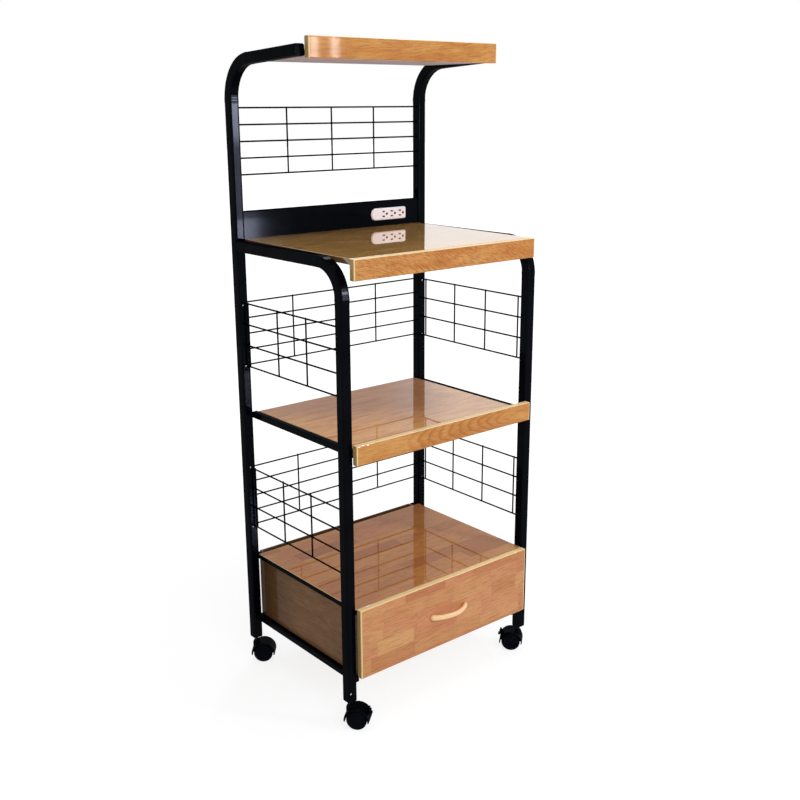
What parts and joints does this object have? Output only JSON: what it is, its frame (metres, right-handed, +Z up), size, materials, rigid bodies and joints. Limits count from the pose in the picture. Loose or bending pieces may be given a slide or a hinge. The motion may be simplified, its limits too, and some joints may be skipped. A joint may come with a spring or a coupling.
{
  "type": "microwave cart",
  "caption": "Microwave cart: bent square-tube frame with open shelves, wire grids, an outlet strip, a drawer cabinet and swivel casters.",
  "frame": {"origin": "on the floor, under the middle of the cart's bounding box", "axes": "+Z up, -Y toward the user who stands in front of the drawer, +X to that user's right"},
  "size_m": [0.622, 0.5182, 1.5733],
  "materials": {
    "tube": "gloss black powder coat",
    "wire": "gloss black powder coat",
    "slide": "pale epoxy coat",
    "stem": "plated steel",
    "caster": "black nylon",
    "wheel": "black nylon tread",
    "outlet": "ivory plastic",
    "fascia": "oak with a cream edge band",
    "main_board": "gloss brown laminate",
    "beige_board": "gloss beige laminate",
    "stave_board": "gloss stave laminate",
    "side_panel": "gloss brown laminate",
    "drawer_box": "plain board",
    "handle": "lacquered maple"
  },
  "bodies": {
    "frame": {"back_left_caster_socket": "caster", "back_right_caster_socket": "caster", "cabinet_back_panel": "side_panel", "cabinet_top_board": "stave_board", "front_left_caster_socket": "caster", "front_right_caster_socket": "caster", "left_back_post": "tube", "left_cabinet_bottom_rail": "tube", "left_cabinet_top_rail": "tube", "left_front_post": "tube", "left_low_grid": "wire", "left_mid_grid": "wire", "left_mid_rail": "tube", "left_side_panel": "side_panel", "left_slide_channel": "slide", "left_top_cap": "caster", "low_back_grid": "wire", "main_shelf_board": "main_board", "main_shelf_fascia": "fascia", "mid_back_grid": "wire", "mid_shelf_board": "beige_board", "mid_shelf_fascia": "fascia", "outlet_panel": "tube", "outlet_strip": "outlet", "right_back_post": "tube", "right_cabinet_bottom_rail": "tube", "right_cabinet_top_rail": "tube", "right_front_post": "tube", "right_low_grid": "wire", "right_mid_grid": "wire", "right_mid_rail": "tube", "right_side_panel": "side_panel", "right_slide_channel": "slide", "right_top_cap": "caster", "top_shelf_board": "beige_board", "top_shelf_fascia": "fascia", "upper_back_grid": "wire"},
    "drawer": {"drawer_back": "drawer_box", "drawer_bottom": "drawer_box", "drawer_front": "stave_board", "drawer_handle": "handle", "drawer_left_side": "drawer_box", "drawer_right_side": "drawer_box", "left_slide_runner": "slide", "right_slide_runner": "slide"},
    "front_left_caster": {"front_left_caster_hood": "caster", "front_left_caster_stem": "stem"},
    "front_left_wheel_pair": {"front_left_wheels": "wheel"},
    "front_left_brake": {"front_left_brake_lever": "caster"},
    "front_right_caster": {"front_right_caster_hood": "caster", "front_right_caster_stem": "stem"},
    "front_right_wheel_pair": {"front_right_wheels": "wheel"},
    "front_right_brake": {"front_right_brake_lever": "caster"},
    "back_left_caster": {"back_left_caster_hood": "caster", "back_left_caster_stem": "stem"},
    "back_left_wheel_pair": {"back_left_wheels": "wheel"},
    "back_right_caster": {"back_right_caster_hood": "caster", "back_right_caster_stem": "stem"},
    "back_right_wheel_pair": {"back_right_wheels": "wheel"}
  },
  "joints": [
    {"name": "drawer_slide", "type": "slide", "parent": "frame", "child": "drawer", "axis": [0, -1, 0], "range_m": [0, 0.3]},
    {"name": "front_left_swivel", "type": "hinge", "parent": "frame", "child": "front_left_caster", "pos_m": [-0.2873, -0.20105, 0.0711], "axis": [0, 0, 1], "continuous": true},
    {"name": "front_left_roll", "type": "hinge", "parent": "front_left_caster", "child": "front_left_wheel_pair", "pos_m": [-0.27541, -0.21523, 0.025], "axis": [0.766, 0.6428, 0], "continuous": true},
    {"name": "front_left_brake_rock", "type": "hinge", "parent": "front_left_caster", "child": "front_left_brake", "pos_m": [-0.25676, -0.23745, 0.04457], "axis": [0.766, 0.6428, 0], "range_deg": [0, 15]},
    {"name": "front_right_swivel", "type": "hinge", "parent": "frame", "child": "front_right_caster", "pos_m": [0.2873, -0.20105, 0.0711], "axis": [0, 0, 1], "continuous": true},
    {"name": "front_right_roll", "type": "hinge", "parent": "front_right_caster", "child": "front_right_wheel_pair", "pos_m": [0.27541, -0.18688, 0.025], "axis": [-0.766, -0.6428, 0], "continuous": true},
    {"name": "front_right_brake_rock", "type": "hinge", "parent": "front_right_caster", "child": "front_right_brake", "pos_m": [0.25676, -0.16465, 0.04457], "axis": [-0.766, -0.6428, 0], "range_deg": [0, 15]},
    {"name": "back_left_swivel", "type": "hinge", "parent": "frame", "child": "back_left_caster", "pos_m": [-0.2873, 0.21155, 0.0711], "axis": [0, 0, 1], "continuous": true},
    {"name": "back_left_roll", "type": "hinge", "parent": "back_left_caster", "child": "back_left_wheel_pair", "pos_m": [-0.27313, 0.19965, 0.025], "axis": [0.6428, 0.766, 0], "continuous": true},
    {"name": "back_right_swivel", "type": "hinge", "parent": "frame", "child": "back_right_caster", "pos_m": [0.2873, 0.21155, 0.0711], "axis": [0, 0, 1], "continuous": true},
    {"name": "back_right_roll", "type": "hinge", "parent": "back_right_caster", "child": "back_right_wheel_pair", "pos_m": [0.27313, 0.22344, 0.025], "axis": [-0.6428, -0.766, 0], "continuous": true}
  ]
}
